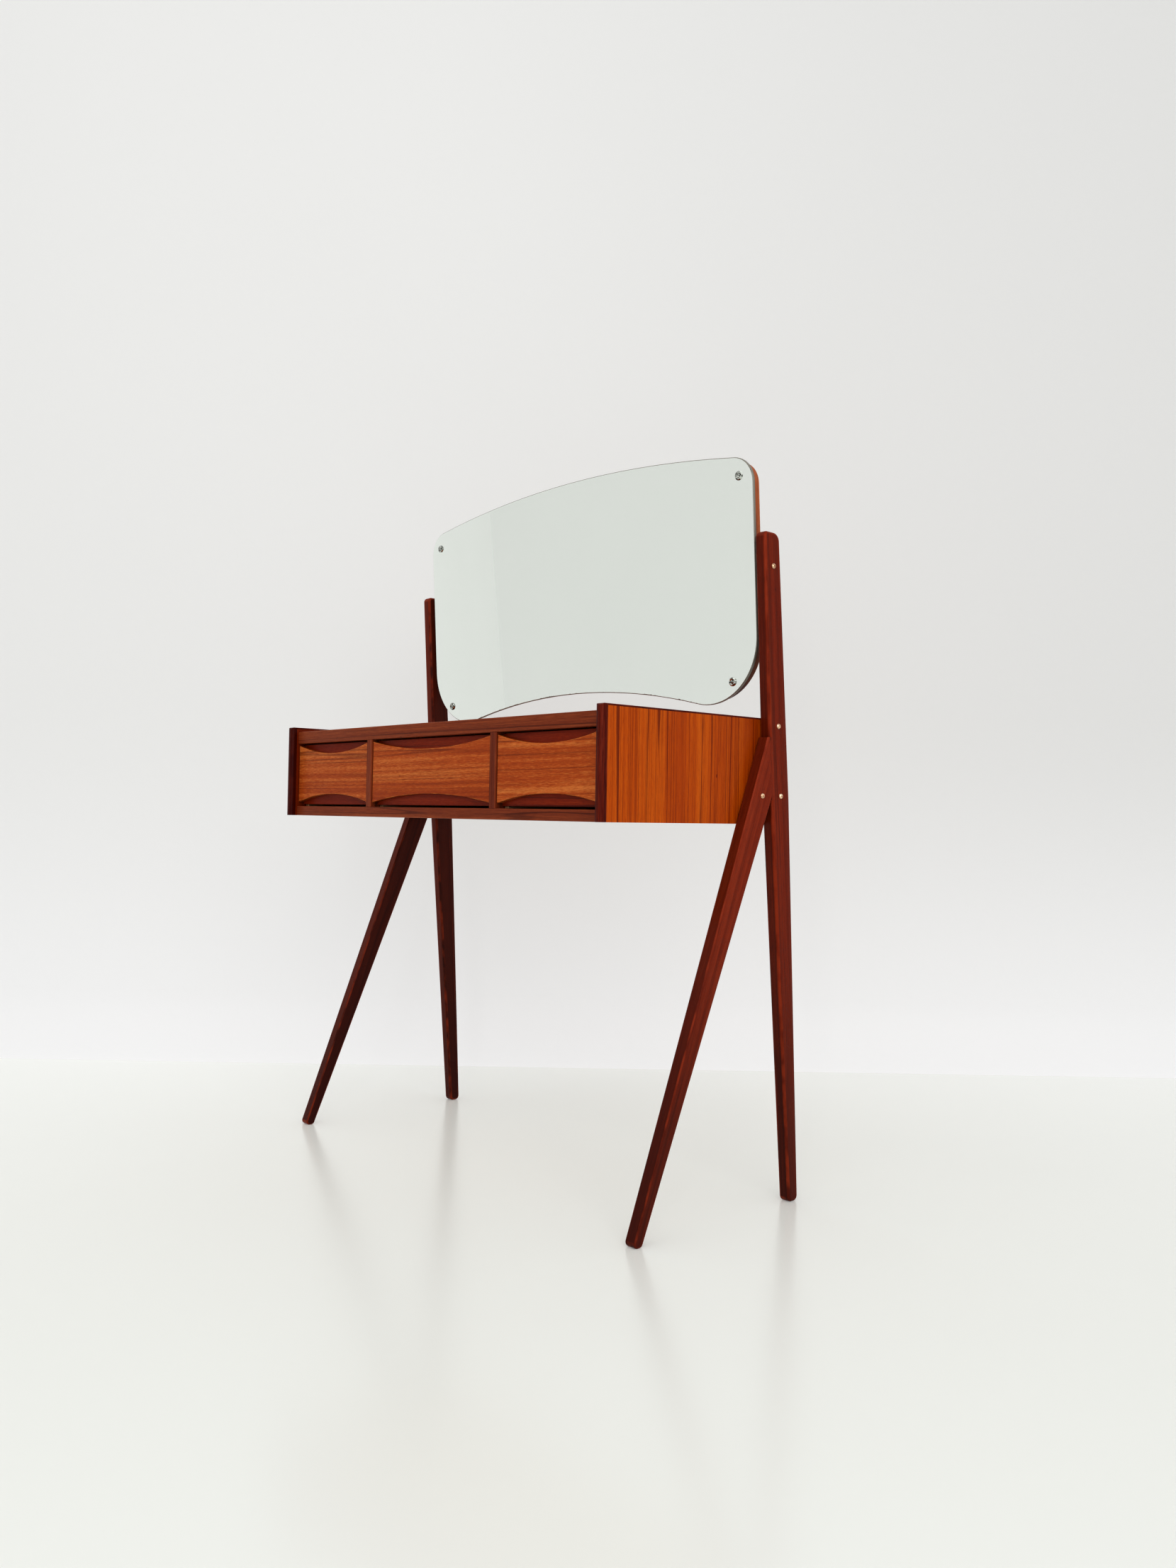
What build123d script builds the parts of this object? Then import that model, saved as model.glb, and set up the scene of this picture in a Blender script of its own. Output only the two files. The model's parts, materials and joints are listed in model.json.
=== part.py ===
from build123d import *
from math import cos, radians, sin
import os

# Vanity table: a casing with three drawers hangs between two side frames, and a tilting mirror
# turns on a screw near the top of each rear post. +Z is up, +X to the sitter's right, and the
# sitter is on the -Y side. The origin is on the floor, in the middle of the object. Millimetres.

# Overall
frame_width = 1000.0
overall_depth = 459.0

# Side frames
leg_thickness = 22.0
post_height = 1145.0
post_lean = 0.0707
post_foot_width = 24.0
post_shoulder_width = 47.5
post_top_width = 40.0
post_arris_radius = 4.5
post_top_front_radius = 9.0
post_top_rear_radius = 15.0
post_foot_radius = 9.0
post_foot_setback = 0.5
crotch_height = 690.0
leg_top_height = 795.5
leg_ledge = 4.7
leg_foot_setback = 71.5
leg_foot_width = 19.5
leg_foot_radius = 7.5
leg_arris_radius = 2.6
dowel_radius = 4.0
dowel_length = 28.0
dowel_heights = (715.0, 755.0)

# Casing
casing_bottom_z = 648.0
casing_height = 181.0
casing_back_inset = 2.5
panel_thickness = 17.0
panel_lip = 9.0
front_lipping_depth = 12.0
front_lipping_corner_radius = 6.0
front_lipping_nose_radius = 7.0
top_lipping_height = 3.0
top_lipping_radius = 1.2
top_thickness = 18.0
rail_setback = 15.5
rail_thickness = 22.0
top_rail_height = 24.5
bottom_rail_height = 19.0
rail_arris_radius = 1.5
divider_thickness = 17.0
divider_centre_x = 191.5
bottom_panel_thickness = 5.0
bottom_panel_lift = 4.0
back_panel_thickness = 5.0
back_rebate_width = 8.0
runner_width = 18.0
stop_thickness = 6.0
stop_height = 30.0

# Drawers
plate_recess = 2.5
plate_thickness = 12.0
plate_top_drop = 4.5
plate_bottom_rise = 9.0
plate_top_scoop = 17.5
plate_bottom_scoop = 16.0
plate_arris_radius = 1.2
board_thickness = 12.0
board_top_drop = 2.2
board_bottom_rise = 4.0
board_rebate = 6.0
drawer_side_gap = 1.5
drawer_side_thickness = 10.0
drawer_side_drop = 10.5
drawer_bottom_thickness = 4.0
drawer_groove_depth = 4.0
drawer_groove_rise = 6.5
drawer_back_inset = 3.0
running_gap = 0.3
drawer_stop_gap = 0.5

# Mirror
mirror_side_gap = 7.0
mirror_apex = 231.5
mirror_top_radius = 2750.0
mirror_bottom_middle = -189.0
mirror_bottom_radius = 1450.0
mirror_top_corner_radius = 50.0
mirror_bottom_corner_radius = 116.0
mirror_tilt = 3.5
board_core_thickness = 18.0
board_inset = 7.0
edge_band_thickness = 2.5
glass_thickness = 5.0
glass_inset = 1.0
glass_back = 6.5
glass_bevel = 1.2
pivot_height = 1087.0
upper_screw_inset = 32.5
upper_screw_drop = 27.9
lower_screw_inset = 58.5
lower_screw_rise = 76.6

# Hardware
round_head_radius = 4.8
round_head_height = 3.6
slot_width = 1.2
slot_depth = 1.5
frame_screw_radius = 2.5
frame_screw_length = 35.0
frame_screw_heights = (815.0, 696.0)
leg_screw_height = 695.5
pivot_radius = 3.0
pivot_bore_clearance = 0.05
pivot_screw_grip = 35.0
pivot_spacer_radius = 6.0
cup_radius = 8.0
cup_height = 3.0
cup_rim_radius = 2.6
cup_seat_height = 1.3
cup_hole_radius = 4.2
mirror_screw_head_radius = 3.9
mirror_screw_head_height = 1.8
mirror_screw_slot_turn = 30
mirror_screw_radius = 2.0
mirror_screw_length = 14.0
glass_bush_radius = 3.0
pin_head_radius = 1.6
pin_radius = 0.8
pin_length = 14.0
pin_head_height = 0.8
pin_edge_distance = 4.0
pin_heights = (668.0, 725.0, 782.0)

# Places worked out from the sizes
panel_outer_x = frame_width / 2 - leg_thickness
panel_inner_x = panel_outer_x - panel_thickness
mirror_half_width = panel_outer_x - mirror_side_gap
mirror_top_centre_v = mirror_apex - mirror_top_radius
mirror_top_v = mirror_top_centre_v + (mirror_top_radius**2 - mirror_half_width**2) ** 0.5
mirror_bottom_centre_v = mirror_bottom_middle - mirror_bottom_radius
mirror_bottom_v = mirror_bottom_centre_v + (mirror_bottom_radius**2 - mirror_half_width**2) ** 0.5
casing_front_y = -overall_depth / 2
casing_top_z = casing_bottom_z + casing_height
table_top_z = casing_top_z - panel_lip
table_underside_z = table_top_z - top_thickness
rail_front_y = casing_front_y + rail_setback
rail_back_y = rail_front_y + rail_thickness
opening_bottom_z = casing_bottom_z + bottom_rail_height
opening_top_z = table_top_z - top_rail_height
bottom_panel_z = casing_bottom_z + bottom_panel_lift
bearer_bottom_z = bottom_panel_z + bottom_panel_thickness
divider_faces = (divider_centre_x - divider_thickness / 2, divider_centre_x + divider_thickness / 2)
post_foot_y = overall_depth / 2 - post_foot_width / 2 + post_foot_setback
leg_foot_y = casing_front_y + leg_foot_setback


def post_centre_y(height):
    """Y of the middle of the post at a height, on its straight leaning line."""
    return post_foot_y - post_lean * height


crotch_y = post_centre_y(crotch_height) - post_shoulder_width / 2
casing_back_y = crotch_y + post_shoulder_width - casing_back_inset
back_panel_front_y = casing_back_y - back_panel_thickness
post_top_front_y = post_centre_y(post_height) - post_top_width / 2


def post_front_y(height):
    """Y of the post's front face above the crotch, where the leg is glued on."""
    share = (height - crotch_height) / (post_height - crotch_height)
    return crotch_y + share * (post_top_front_y - crotch_y)


def leg_front_y(height):
    """Y of the leg's straight front face at a height."""
    foot_y = leg_foot_y - leg_foot_width / 2
    top_y = post_front_y(leg_top_height) - leg_ledge
    return foot_y + height / leg_top_height * (top_y - foot_y)


pivot_y = post_centre_y(pivot_height)
leg_screw_y = (leg_front_y(leg_screw_height) + post_front_y(leg_screw_height)) / 2
mirror_normal = (0, -cos(radians(mirror_tilt)), -sin(radians(mirror_tilt)))
mirror_plane = Plane(origin=(0, pivot_y, pivot_height), x_dir=(1, 0, 0), z_dir=mirror_normal)
board_half_width = mirror_half_width - board_inset
board_plane = mirror_plane.offset(glass_back - board_core_thickness)
glass_front = glass_back + glass_thickness
mirror_screw_points = [
    (side * (mirror_half_width - inset), v)
    for side in (-1, 1)
    for inset, v in (
        (upper_screw_inset, mirror_top_v - upper_screw_drop),
        (lower_screw_inset, mirror_bottom_v + lower_screw_rise),
    )
]
frame_screw_points = [(post_centre_y(z), z) for z in frame_screw_heights]
frame_screw_points.append((leg_screw_y, leg_screw_height))

os.makedirs("parts", exist_ok=True)


def save(part, name):
    """Labels a finished piece and writes it under its node name."""
    part.label = name
    export_step(part, f"parts/{name}.step")


def save_pair(right_part, name):
    """Writes a right-hand piece, and its mirror image as the left-hand one."""
    save(right_part, f"{name}_right")
    with BuildPart() as left:
        mirror(right_part, about=Plane.YZ)
    save(left.part, f"{name}_left")


def plain_box(x_range, y_range, z_range, mode=Mode.ADD):
    """Adds a box between the given limits to the open part, or cuts it out."""
    spans = (x_range, y_range, z_range)
    middle = [(low + high) / 2 for low, high in spans]
    with Locations(tuple(middle)):
        Box(*[high - low for low, high in spans], mode=mode)


# ---------------------------------------------------------------- side frames

with BuildPart() as rear_post:
    with BuildSketch(Plane.YZ.offset(panel_outer_x)):
        with BuildLine():
            Polyline(
                (post_centre_y(0) - post_foot_width / 2, 0),
                (crotch_y, crotch_height),
                (post_top_front_y, post_height),
                (post_top_front_y + post_top_width, post_height),
                (crotch_y + post_shoulder_width, crotch_height),
                (post_centre_y(0) + post_foot_width / 2, 0),
                close=True,
            )
        make_face()
        fillet(vertices().sort_by(Axis.Y)[:2], post_foot_radius)
        fillet(vertices().sort_by(Axis.Y)[-2:].sort_by(Axis.X)[0], post_top_front_radius)
        fillet(vertices().sort_by(Axis.Y)[-2:].sort_by(Axis.X)[-1], post_top_rear_radius)
    extrude(amount=leg_thickness)
    post_sides = faces().filter_by(Axis.X)
    fillet(post_sides.edges(), post_arris_radius)
    # The leg is glued on between the crotch and its own top, so the face stays square there.
    with BuildSketch(Plane.YZ.offset(panel_outer_x)):
        with BuildLine():
            Polyline(
                (crotch_y, crotch_height),
                (post_front_y(leg_top_height), leg_top_height),
                (post_front_y(leg_top_height) + 2 * post_arris_radius, leg_top_height),
                (crotch_y + 2 * post_arris_radius, crotch_height),
                close=True,
            )
        make_face()
    extrude(amount=leg_thickness)
    with BuildSketch(Plane.YZ.offset(panel_outer_x)):
        with Locations(*[(post_centre_y(z), z) for z in frame_screw_heights]):
            Circle(frame_screw_radius)
        with Locations((pivot_y, pivot_height)):
            Circle(pivot_radius + pivot_bore_clearance)
    extrude(amount=leg_thickness, mode=Mode.SUBTRACT)
    with BuildSketch(Plane.XZ.offset(-crotch_y)):
        with Locations(*[(panel_outer_x + leg_thickness / 2, z) for z in dowel_heights]):
            Circle(dowel_radius)
    extrude(amount=dowel_length / 2, both=True, mode=Mode.SUBTRACT)
save_pair(rear_post.part, "rear_post")

with BuildPart() as front_leg:
    with BuildSketch(Plane.YZ.offset(panel_outer_x)):
        with BuildLine():
            Polyline(
                (leg_front_y(0), 0),
                (leg_front_y(leg_top_height), leg_top_height),
                (post_front_y(leg_top_height), leg_top_height),
                (crotch_y, crotch_height),
                (leg_foot_y + leg_foot_width / 2, 0),
                close=True,
            )
        make_face()
        fillet(vertices().sort_by(Axis.Y)[:2], leg_foot_radius)
    extrude(amount=leg_thickness)
    below_joint = edges().filter_by(lambda e: e.center().Z < crotch_height)
    fillet(below_joint.filter_by(Axis.X, reverse=True), leg_arris_radius)
    with BuildSketch(Plane.YZ.offset(panel_outer_x)):
        with Locations((leg_screw_y, leg_screw_height)):
            Circle(frame_screw_radius)
    extrude(amount=leg_thickness, mode=Mode.SUBTRACT)
    with BuildSketch(Plane.XZ.offset(-crotch_y)):
        with Locations(*[(panel_outer_x + leg_thickness / 2, z) for z in dowel_heights]):
            Circle(dowel_radius)
    extrude(amount=dowel_length / 2, both=True, mode=Mode.SUBTRACT)
save_pair(front_leg.part, "front_leg")

with BuildPart() as leg_dowels:
    with BuildSketch(Plane.XZ.offset(-crotch_y)):
        with Locations(*[(panel_outer_x + leg_thickness / 2, z) for z in dowel_heights]):
            Circle(dowel_radius)
    extrude(amount=dowel_length / 2, both=True)
save_pair(leg_dowels.part, "leg_dowels")


def domed_screw(plane, shank_radius, shank_length, head_radius, head_height, slot_turn):
    """Adds a slotted screw whose domed head sits on the plane, facing along its normal."""
    with BuildSketch(plane) as shank:
        Circle(shank_radius)
    extrude(shank.sketch, amount=-shank_length)
    side = Plane(origin=plane.origin, x_dir=plane.x_dir, z_dir=-plane.y_dir)
    with BuildSketch(side) as dome:
        with BuildLine():
            Line((0, 0), (head_radius, 0))
            EllipticalCenterArc((0, 0), head_radius, head_height, arc_size=90)
            Line((0, head_height), (0, 0))
        make_face()
    revolve(dome.sketch, axis=Axis(plane.origin, plane.z_dir))
    with BuildSketch(plane.offset(head_height)) as slot:
        Rectangle(3 * head_radius, slot_width, rotation=slot_turn)
    extrude(slot.sketch, amount=-slot_depth, mode=Mode.SUBTRACT)


slot_turns = (35, -20, 65)
with BuildPart() as frame_screws:
    for (screw_y, screw_z), slot_turn in zip(frame_screw_points, slot_turns):
        head_centre = (frame_width / 2, screw_y, screw_z)
        face_plane = Plane(origin=head_centre, x_dir=(0, 1, 0), z_dir=(1, 0, 0))
        domed_screw(
            face_plane,
            frame_screw_radius,
            frame_screw_length,
            round_head_radius,
            round_head_height,
            slot_turn,
        )
save_pair(frame_screws.part, "frame_screws")


# ---------------------------------------------------------------- casing

panel_front_y = casing_front_y + front_lipping_depth
panel_top_z = casing_top_z - top_lipping_height
panel_x = (panel_inner_x, panel_outer_x)

rebate_x = (panel_inner_x, panel_inner_x + back_rebate_width)
rebate_z = (casing_bottom_z, table_underside_z)

with BuildPart() as back_panel_pins:
    pin_columns = (panel_inner_x + pin_edge_distance, divider_centre_x)
    pin_points = [(side * x, z) for side in (-1, 1) for x in pin_columns for z in pin_heights]
    back_face = Plane(origin=(0, casing_back_y, 0), x_dir=(1, 0, 0), z_dir=(0, -1, 0))
    with BuildSketch(back_face):
        with Locations(*pin_points):
            Circle(pin_radius)
    extrude(amount=pin_length)
    with BuildSketch(back_face):
        with Locations(*pin_points):
            Circle(pin_head_radius)
    extrude(amount=-pin_head_height)
save(back_panel_pins.part, "back_panel_pins")

with BuildPart() as side_panel:
    plain_box(panel_x, (panel_front_y, casing_back_y), (casing_bottom_z, panel_top_z))
    plain_box(rebate_x, (back_panel_front_y, casing_back_y), rebate_z, mode=Mode.SUBTRACT)
    add(back_panel_pins.part, mode=Mode.SUBTRACT)
    with BuildSketch(Plane.YZ.offset(panel_outer_x)):
        with Locations(*frame_screw_points):
            Circle(frame_screw_radius)
    extrude(amount=leg_thickness - frame_screw_length, mode=Mode.SUBTRACT)
save_pair(side_panel.part, "side_panel")

with BuildPart() as front_lipping:
    plain_box(panel_x, (casing_front_y, panel_front_y), (casing_bottom_z, casing_top_z))
    upright_edges = edges().filter_by(Axis.Z).group_by(Axis.Y)[0]
    fillet(upright_edges, front_lipping_nose_radius)
    top_rim = faces().sort_by(Axis.Z)[-1].edges().sort_by(Axis.Y)[:-1]
    fillet(top_rim, top_lipping_radius)
    with BuildSketch(Plane.YZ.offset(panel_inner_x)):
        with BuildLine():
            Polyline(
                (casing_front_y, casing_bottom_z),
                (casing_front_y, casing_top_z),
                (panel_front_y, casing_top_z),
                (panel_front_y, casing_bottom_z),
                close=True,
            )
        make_face()
        fillet(vertices().group_by(Axis.X)[0].sort_by(Axis.Y)[-1], front_lipping_corner_radius)
    extrude(amount=panel_thickness, mode=Mode.INTERSECT)
save_pair(front_lipping.part, "front_lipping")

with BuildPart() as top_lipping:
    plain_box(panel_x, (panel_front_y, casing_back_y), (panel_top_z, casing_top_z))
    long_edges = edges().filter_by(Axis.Y).group_by(Axis.Z)[-1]
    fillet(long_edges, top_lipping_radius)
save_pair(top_lipping.part, "top_lipping")

inside_x = (-panel_inner_x, panel_inner_x)

with BuildPart() as table_top:
    plain_box(inside_x, (rail_back_y, casing_back_y), (table_underside_z, table_top_z))
save(table_top.part, "table_top")

with BuildPart() as top_front_rail:
    plain_box(inside_x, (rail_front_y, rail_back_y), (opening_top_z, table_top_z))
    fillet(edges().filter_by(Axis.X).group_by(Axis.Y)[0], rail_arris_radius)
save(top_front_rail.part, "top_front_rail")

with BuildPart() as bottom_front_rail:
    plain_box(inside_x, (rail_front_y, rail_back_y), (casing_bottom_z, opening_bottom_z))
    fillet(edges().filter_by(Axis.X).group_by(Axis.Y)[0], rail_arris_radius)
save(bottom_front_rail.part, "bottom_front_rail")

with BuildPart() as back_panel:
    back_x = panel_inner_x + back_rebate_width
    plain_box((-back_x, back_x), (back_panel_front_y, casing_back_y), rebate_z)
    add(back_panel_pins.part, mode=Mode.SUBTRACT)
save(back_panel.part, "back_panel")

inner_y = (rail_back_y, back_panel_front_y)

with BuildPart() as bottom_panel:
    plain_box(inside_x, inner_y, (bottom_panel_z, bearer_bottom_z))
save(bottom_panel.part, "bottom_panel")

with BuildPart() as divider:
    plain_box(divider_faces, inner_y, (bearer_bottom_z, table_underside_z))
    add(back_panel_pins.part, mode=Mode.SUBTRACT)
save_pair(divider.part, "divider")

with BuildPart() as divider_lipping:
    plain_box(divider_faces, (rail_front_y, rail_back_y), (opening_bottom_z, opening_top_z))
    fillet(edges().filter_by(Axis.Z).group_by(Axis.Y)[0], rail_arris_radius)
save_pair(divider_lipping.part, "divider_lipping")

# Each drawer opening has a strip along both its sides, below the drawer and above it.
inner_divider_x, outer_divider_x = divider_faces
opening_sides = (
    (inner_divider_x - runner_width, inner_divider_x),
    (outer_divider_x, outer_divider_x + runner_width),
    (panel_inner_x - runner_width, panel_inner_x),
)
strip_spans = [*opening_sides, *[(-high, -low) for low, high in opening_sides]]
stop_y = (back_panel_front_y - stop_thickness, back_panel_front_y)


def strips(name, y_range, z_range):
    """Writes a group of equal pieces, one beside each side of each drawer opening."""
    with BuildPart() as group:
        for x_range in strip_spans:
            plain_box(x_range, y_range, z_range)
    save(group.part, name)


strips("drawer_bearers", inner_y, (bearer_bottom_z, opening_bottom_z))
strips("drawer_kickers", inner_y, (opening_top_z, table_underside_z))
strips("drawer_stops", stop_y, (opening_bottom_z, opening_bottom_z + stop_height))


# ---------------------------------------------------------------- drawers

plate_front_y = rail_front_y + plate_recess
plate_z = (opening_bottom_z + plate_bottom_rise, opening_top_z - plate_top_drop)
board_front_y = plate_front_y + plate_thickness
board_back_y = board_front_y + board_thickness
board_z = (opening_bottom_z + board_bottom_rise, opening_top_z - board_top_drop)
side_y = (board_back_y - board_rebate, stop_y[0] - drawer_stop_gap)
side_z = (opening_bottom_z + running_gap, opening_top_z - drawer_side_drop)
groove_bottom_z = side_z[0] + drawer_groove_rise
groove_z = (groove_bottom_z, groove_bottom_z + drawer_bottom_thickness)
drawer_back_y = (side_y[1] - drawer_back_inset - drawer_side_thickness, side_y[1] - drawer_back_inset)
bottom_y = (board_back_y - drawer_groove_depth, drawer_back_y[1])


def build_drawer(name, opening_x):
    """Writes the six pieces of one drawer, made to fit the opening between two X limits."""
    left_x = opening_x[0] + drawer_side_gap
    right_x = opening_x[1] - drawer_side_gap
    middle_x = (left_x + right_x) / 2
    half_width = (right_x - left_x) / 2
    inner_x = (left_x + drawer_side_thickness, right_x - drawer_side_thickness)
    bottom_x = (inner_x[0] - drawer_groove_depth, inner_x[1] + drawer_groove_depth)
    bottom_z, top_z = plate_z

    with BuildPart() as front_plate:
        with BuildSketch(Plane(origin=(middle_x, plate_front_y, 0), x_dir=(1, 0, 0), z_dir=(0, -1, 0))):
            with BuildLine():
                top_middle = (0, top_z - plate_top_scoop)
                ThreePointArc((-half_width, top_z), top_middle, (half_width, top_z))
                Line((half_width, top_z), (half_width, bottom_z))
                bottom_middle = (0, bottom_z + plate_bottom_scoop)
                ThreePointArc((half_width, bottom_z), bottom_middle, (-half_width, bottom_z))
                Line((-half_width, bottom_z), (-half_width, top_z))
            make_face()
        extrude(amount=-plate_thickness)
        fillet(faces().sort_by(Axis.Y)[0].edges(), plate_arris_radius)
    save(front_plate.part, f"{name}_front_plate")

    with BuildPart() as bottom:
        plain_box(bottom_x, bottom_y, groove_z)
    save(bottom.part, f"{name}_bottom")

    with BuildPart() as front_board:
        plain_box((left_x, right_x), (board_front_y, board_back_y), board_z)
        for x_range in ((left_x, inner_x[0]), (inner_x[1], right_x)):
            plain_box(x_range, (side_y[0], board_back_y), side_z, mode=Mode.SUBTRACT)
        add(bottom.part, mode=Mode.SUBTRACT)
    save(front_board.part, f"{name}_front_board")

    for hand, x_range in (("left", (left_x, inner_x[0])), ("right", (inner_x[1], right_x))):
        with BuildPart() as side:
            plain_box(x_range, side_y, side_z)
            add(bottom.part, mode=Mode.SUBTRACT)
        save(side.part, f"{name}_side_{hand}")

    with BuildPart() as back:
        plain_box(inner_x, drawer_back_y, (groove_z[1], side_z[1]))
    save(back.part, f"{name}_back")


build_drawer("drawer_left", (-panel_inner_x, -outer_divider_x))
build_drawer("drawer_centre", (-inner_divider_x, inner_divider_x))
build_drawer("drawer_right", (outer_divider_x, panel_inner_x))


# ---------------------------------------------------------------- mirror


def draw_mirror_outline():
    """Draws the mirror's outline in the open sketch: arched top, scooped bottom, round corners."""
    with BuildLine() as outline:
        top_middle = (0, mirror_apex)
        bottom_middle = (0, mirror_bottom_middle)
        ThreePointArc((-mirror_half_width, mirror_top_v), top_middle, (mirror_half_width, mirror_top_v))
        Line((mirror_half_width, mirror_top_v), (mirror_half_width, mirror_bottom_v))
        bottom_right = (mirror_half_width, mirror_bottom_v)
        ThreePointArc(bottom_right, bottom_middle, (-mirror_half_width, mirror_bottom_v))
        Line((-mirror_half_width, mirror_bottom_v), (-mirror_half_width, mirror_top_v))
    make_face(outline.edges())
    fillet(vertices().sort_by(Axis.Y)[-2:], mirror_top_corner_radius)
    fillet(vertices().sort_by(Axis.Y)[:2], mirror_bottom_corner_radius)


with BuildPart() as pivot_screw:
    head_centre = (frame_width / 2 + running_gap, pivot_y, pivot_height)
    head_plane = Plane(origin=head_centre, x_dir=(0, 1, 0), z_dir=(1, 0, 0))
    shank_length = frame_width / 2 + running_gap - board_half_width + pivot_screw_grip
    domed_screw(head_plane, pivot_radius, shank_length, round_head_radius, round_head_height, slot_turns[1])
save_pair(pivot_screw.part, "pivot_screw")

with BuildPart() as pivot_spacer:
    rim = (board_half_width, pivot_y, pivot_height)
    with BuildSketch(Plane(origin=rim, x_dir=(0, 1, 0), z_dir=(1, 0, 0))):
        Circle(pivot_spacer_radius)
        Circle(pivot_radius, mode=Mode.SUBTRACT)
    extrude(amount=panel_outer_x - running_gap - board_half_width)
save_pair(pivot_spacer.part, "pivot_spacer")

with BuildPart() as pivot_bores:
    for side in (-1, 1):
        rim = (side * board_half_width, pivot_y, pivot_height)
        with BuildSketch(Plane(origin=rim, x_dir=(0, 1, 0), z_dir=(side, 0, 0))):
            Circle(pivot_radius)
    extrude(amount=-pivot_screw_grip)

with BuildPart() as mirror_screws:
    for u, v in mirror_screw_points:
        seat_point = mirror_plane.from_local_coords((u, v, glass_front + cup_seat_height))
        seat = Plane(origin=seat_point, x_dir=mirror_plane.x_dir, z_dir=mirror_plane.z_dir)
        domed_screw(
            seat,
            mirror_screw_radius,
            mirror_screw_length,
            mirror_screw_head_radius,
            mirror_screw_head_height,
            mirror_screw_slot_turn,
        )
save(mirror_screws.part, "mirror_screws")

with BuildPart() as cup_washers:
    with BuildSketch(mirror_plane.offset(glass_front)):
        with Locations(*mirror_screw_points):
            Circle(cup_radius)
    extrude(amount=cup_height)
    outward = Axis(mirror_plane.origin, mirror_plane.z_dir)
    rims = edges().filter_by(GeomType.CIRCLE).sort_by(outward)[-len(mirror_screw_points):]
    fillet(rims, cup_rim_radius)
    with BuildSketch(mirror_plane.offset(glass_front)):
        with Locations(*mirror_screw_points):
            Circle(mirror_screw_radius)
    extrude(amount=cup_height, mode=Mode.SUBTRACT)
    with BuildSketch(mirror_plane.offset(glass_front + cup_seat_height)):
        with Locations(*mirror_screw_points):
            Circle(cup_hole_radius)
    extrude(amount=cup_height, mode=Mode.SUBTRACT)
save(cup_washers.part, "cup_washers")

with BuildPart() as glass_bushes:
    with BuildSketch(mirror_plane.offset(glass_back)):
        with Locations(*mirror_screw_points):
            Circle(glass_bush_radius)
            Circle(mirror_screw_radius, mode=Mode.SUBTRACT)
    extrude(amount=glass_thickness)
save(glass_bushes.part, "glass_bushes")

with BuildPart() as mirror_glass:
    with BuildSketch(mirror_plane.offset(glass_back)):
        draw_mirror_outline()
        offset(amount=-glass_inset)
        with Locations(*mirror_screw_points):
            Circle(glass_bush_radius, mode=Mode.SUBTRACT)
    extrude(amount=glass_thickness)
    front = faces().sort_by(Axis(mirror_plane.origin, mirror_plane.z_dir))[-1]
    chamfer(front.outer_wire().edges(), glass_bevel)
save(mirror_glass.part, "mirror_glass")

with BuildPart() as mirror_board:
    with BuildSketch(board_plane):
        draw_mirror_outline()
        offset(amount=-board_inset - edge_band_thickness)
    extrude(amount=board_core_thickness)
    add(pivot_bores.part, mode=Mode.SUBTRACT)
    add(mirror_screws.part, mode=Mode.SUBTRACT)
save(mirror_board.part, "mirror_board")

with BuildPart() as mirror_edge_band:
    with BuildSketch(board_plane):
        draw_mirror_outline()
        offset(amount=-board_inset)
        offset(amount=-edge_band_thickness, mode=Mode.SUBTRACT)
    extrude(amount=board_core_thickness)
    add(pivot_bores.part, mode=Mode.SUBTRACT)
save(mirror_edge_band.part, "mirror_edge_band")
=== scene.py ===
"""Vanity table with a tilting mirror: finishes, hardware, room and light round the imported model.

Metres, +Z up, the sitter on the -Y side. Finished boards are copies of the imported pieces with
their arrises eased; the screws, cups and pins are turned by node trees.
"""
import json
from math import cos, pi, radians, sin

import bmesh
import bpy
from mathutils import Matrix, Vector

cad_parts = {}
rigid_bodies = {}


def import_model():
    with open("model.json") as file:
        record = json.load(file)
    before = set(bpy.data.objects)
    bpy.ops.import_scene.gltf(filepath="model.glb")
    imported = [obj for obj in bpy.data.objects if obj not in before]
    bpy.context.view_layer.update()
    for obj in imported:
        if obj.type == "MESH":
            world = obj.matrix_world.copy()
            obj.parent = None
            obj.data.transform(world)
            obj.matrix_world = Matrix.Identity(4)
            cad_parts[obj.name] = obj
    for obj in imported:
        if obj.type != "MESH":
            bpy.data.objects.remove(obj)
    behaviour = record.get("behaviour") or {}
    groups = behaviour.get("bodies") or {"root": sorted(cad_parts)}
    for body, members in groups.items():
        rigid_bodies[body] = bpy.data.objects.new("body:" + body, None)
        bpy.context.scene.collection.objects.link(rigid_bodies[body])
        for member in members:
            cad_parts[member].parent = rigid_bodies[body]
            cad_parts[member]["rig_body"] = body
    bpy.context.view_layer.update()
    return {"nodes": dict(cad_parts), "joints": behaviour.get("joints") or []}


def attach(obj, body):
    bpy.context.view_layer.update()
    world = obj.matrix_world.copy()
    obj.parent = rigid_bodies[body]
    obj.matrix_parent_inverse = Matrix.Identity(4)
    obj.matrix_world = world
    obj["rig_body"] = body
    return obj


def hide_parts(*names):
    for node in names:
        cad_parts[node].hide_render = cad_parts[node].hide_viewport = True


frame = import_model()

MM = 0.001
QUARTER_TURN = pi / 2
UP = Vector((0, 0, 1))
RIGHT = Vector((1, 0, 0))
BACK = Vector((0, 1, 0))

# ------------------------------------------------------------------ camera

EYE = Vector((1.869, -1.5215, 0.6589))
HEADING = radians(47.71)
RISE = radians(1.40)
ROLL = radians(0.97)
LENS = 28.91
FAR_LIMIT = 100
PICTURE_GAMMA = 0.8
AHEAD = Vector((-sin(HEADING), cos(HEADING), 0))
ASIDE = Vector((cos(HEADING), sin(HEADING), 0))


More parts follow.
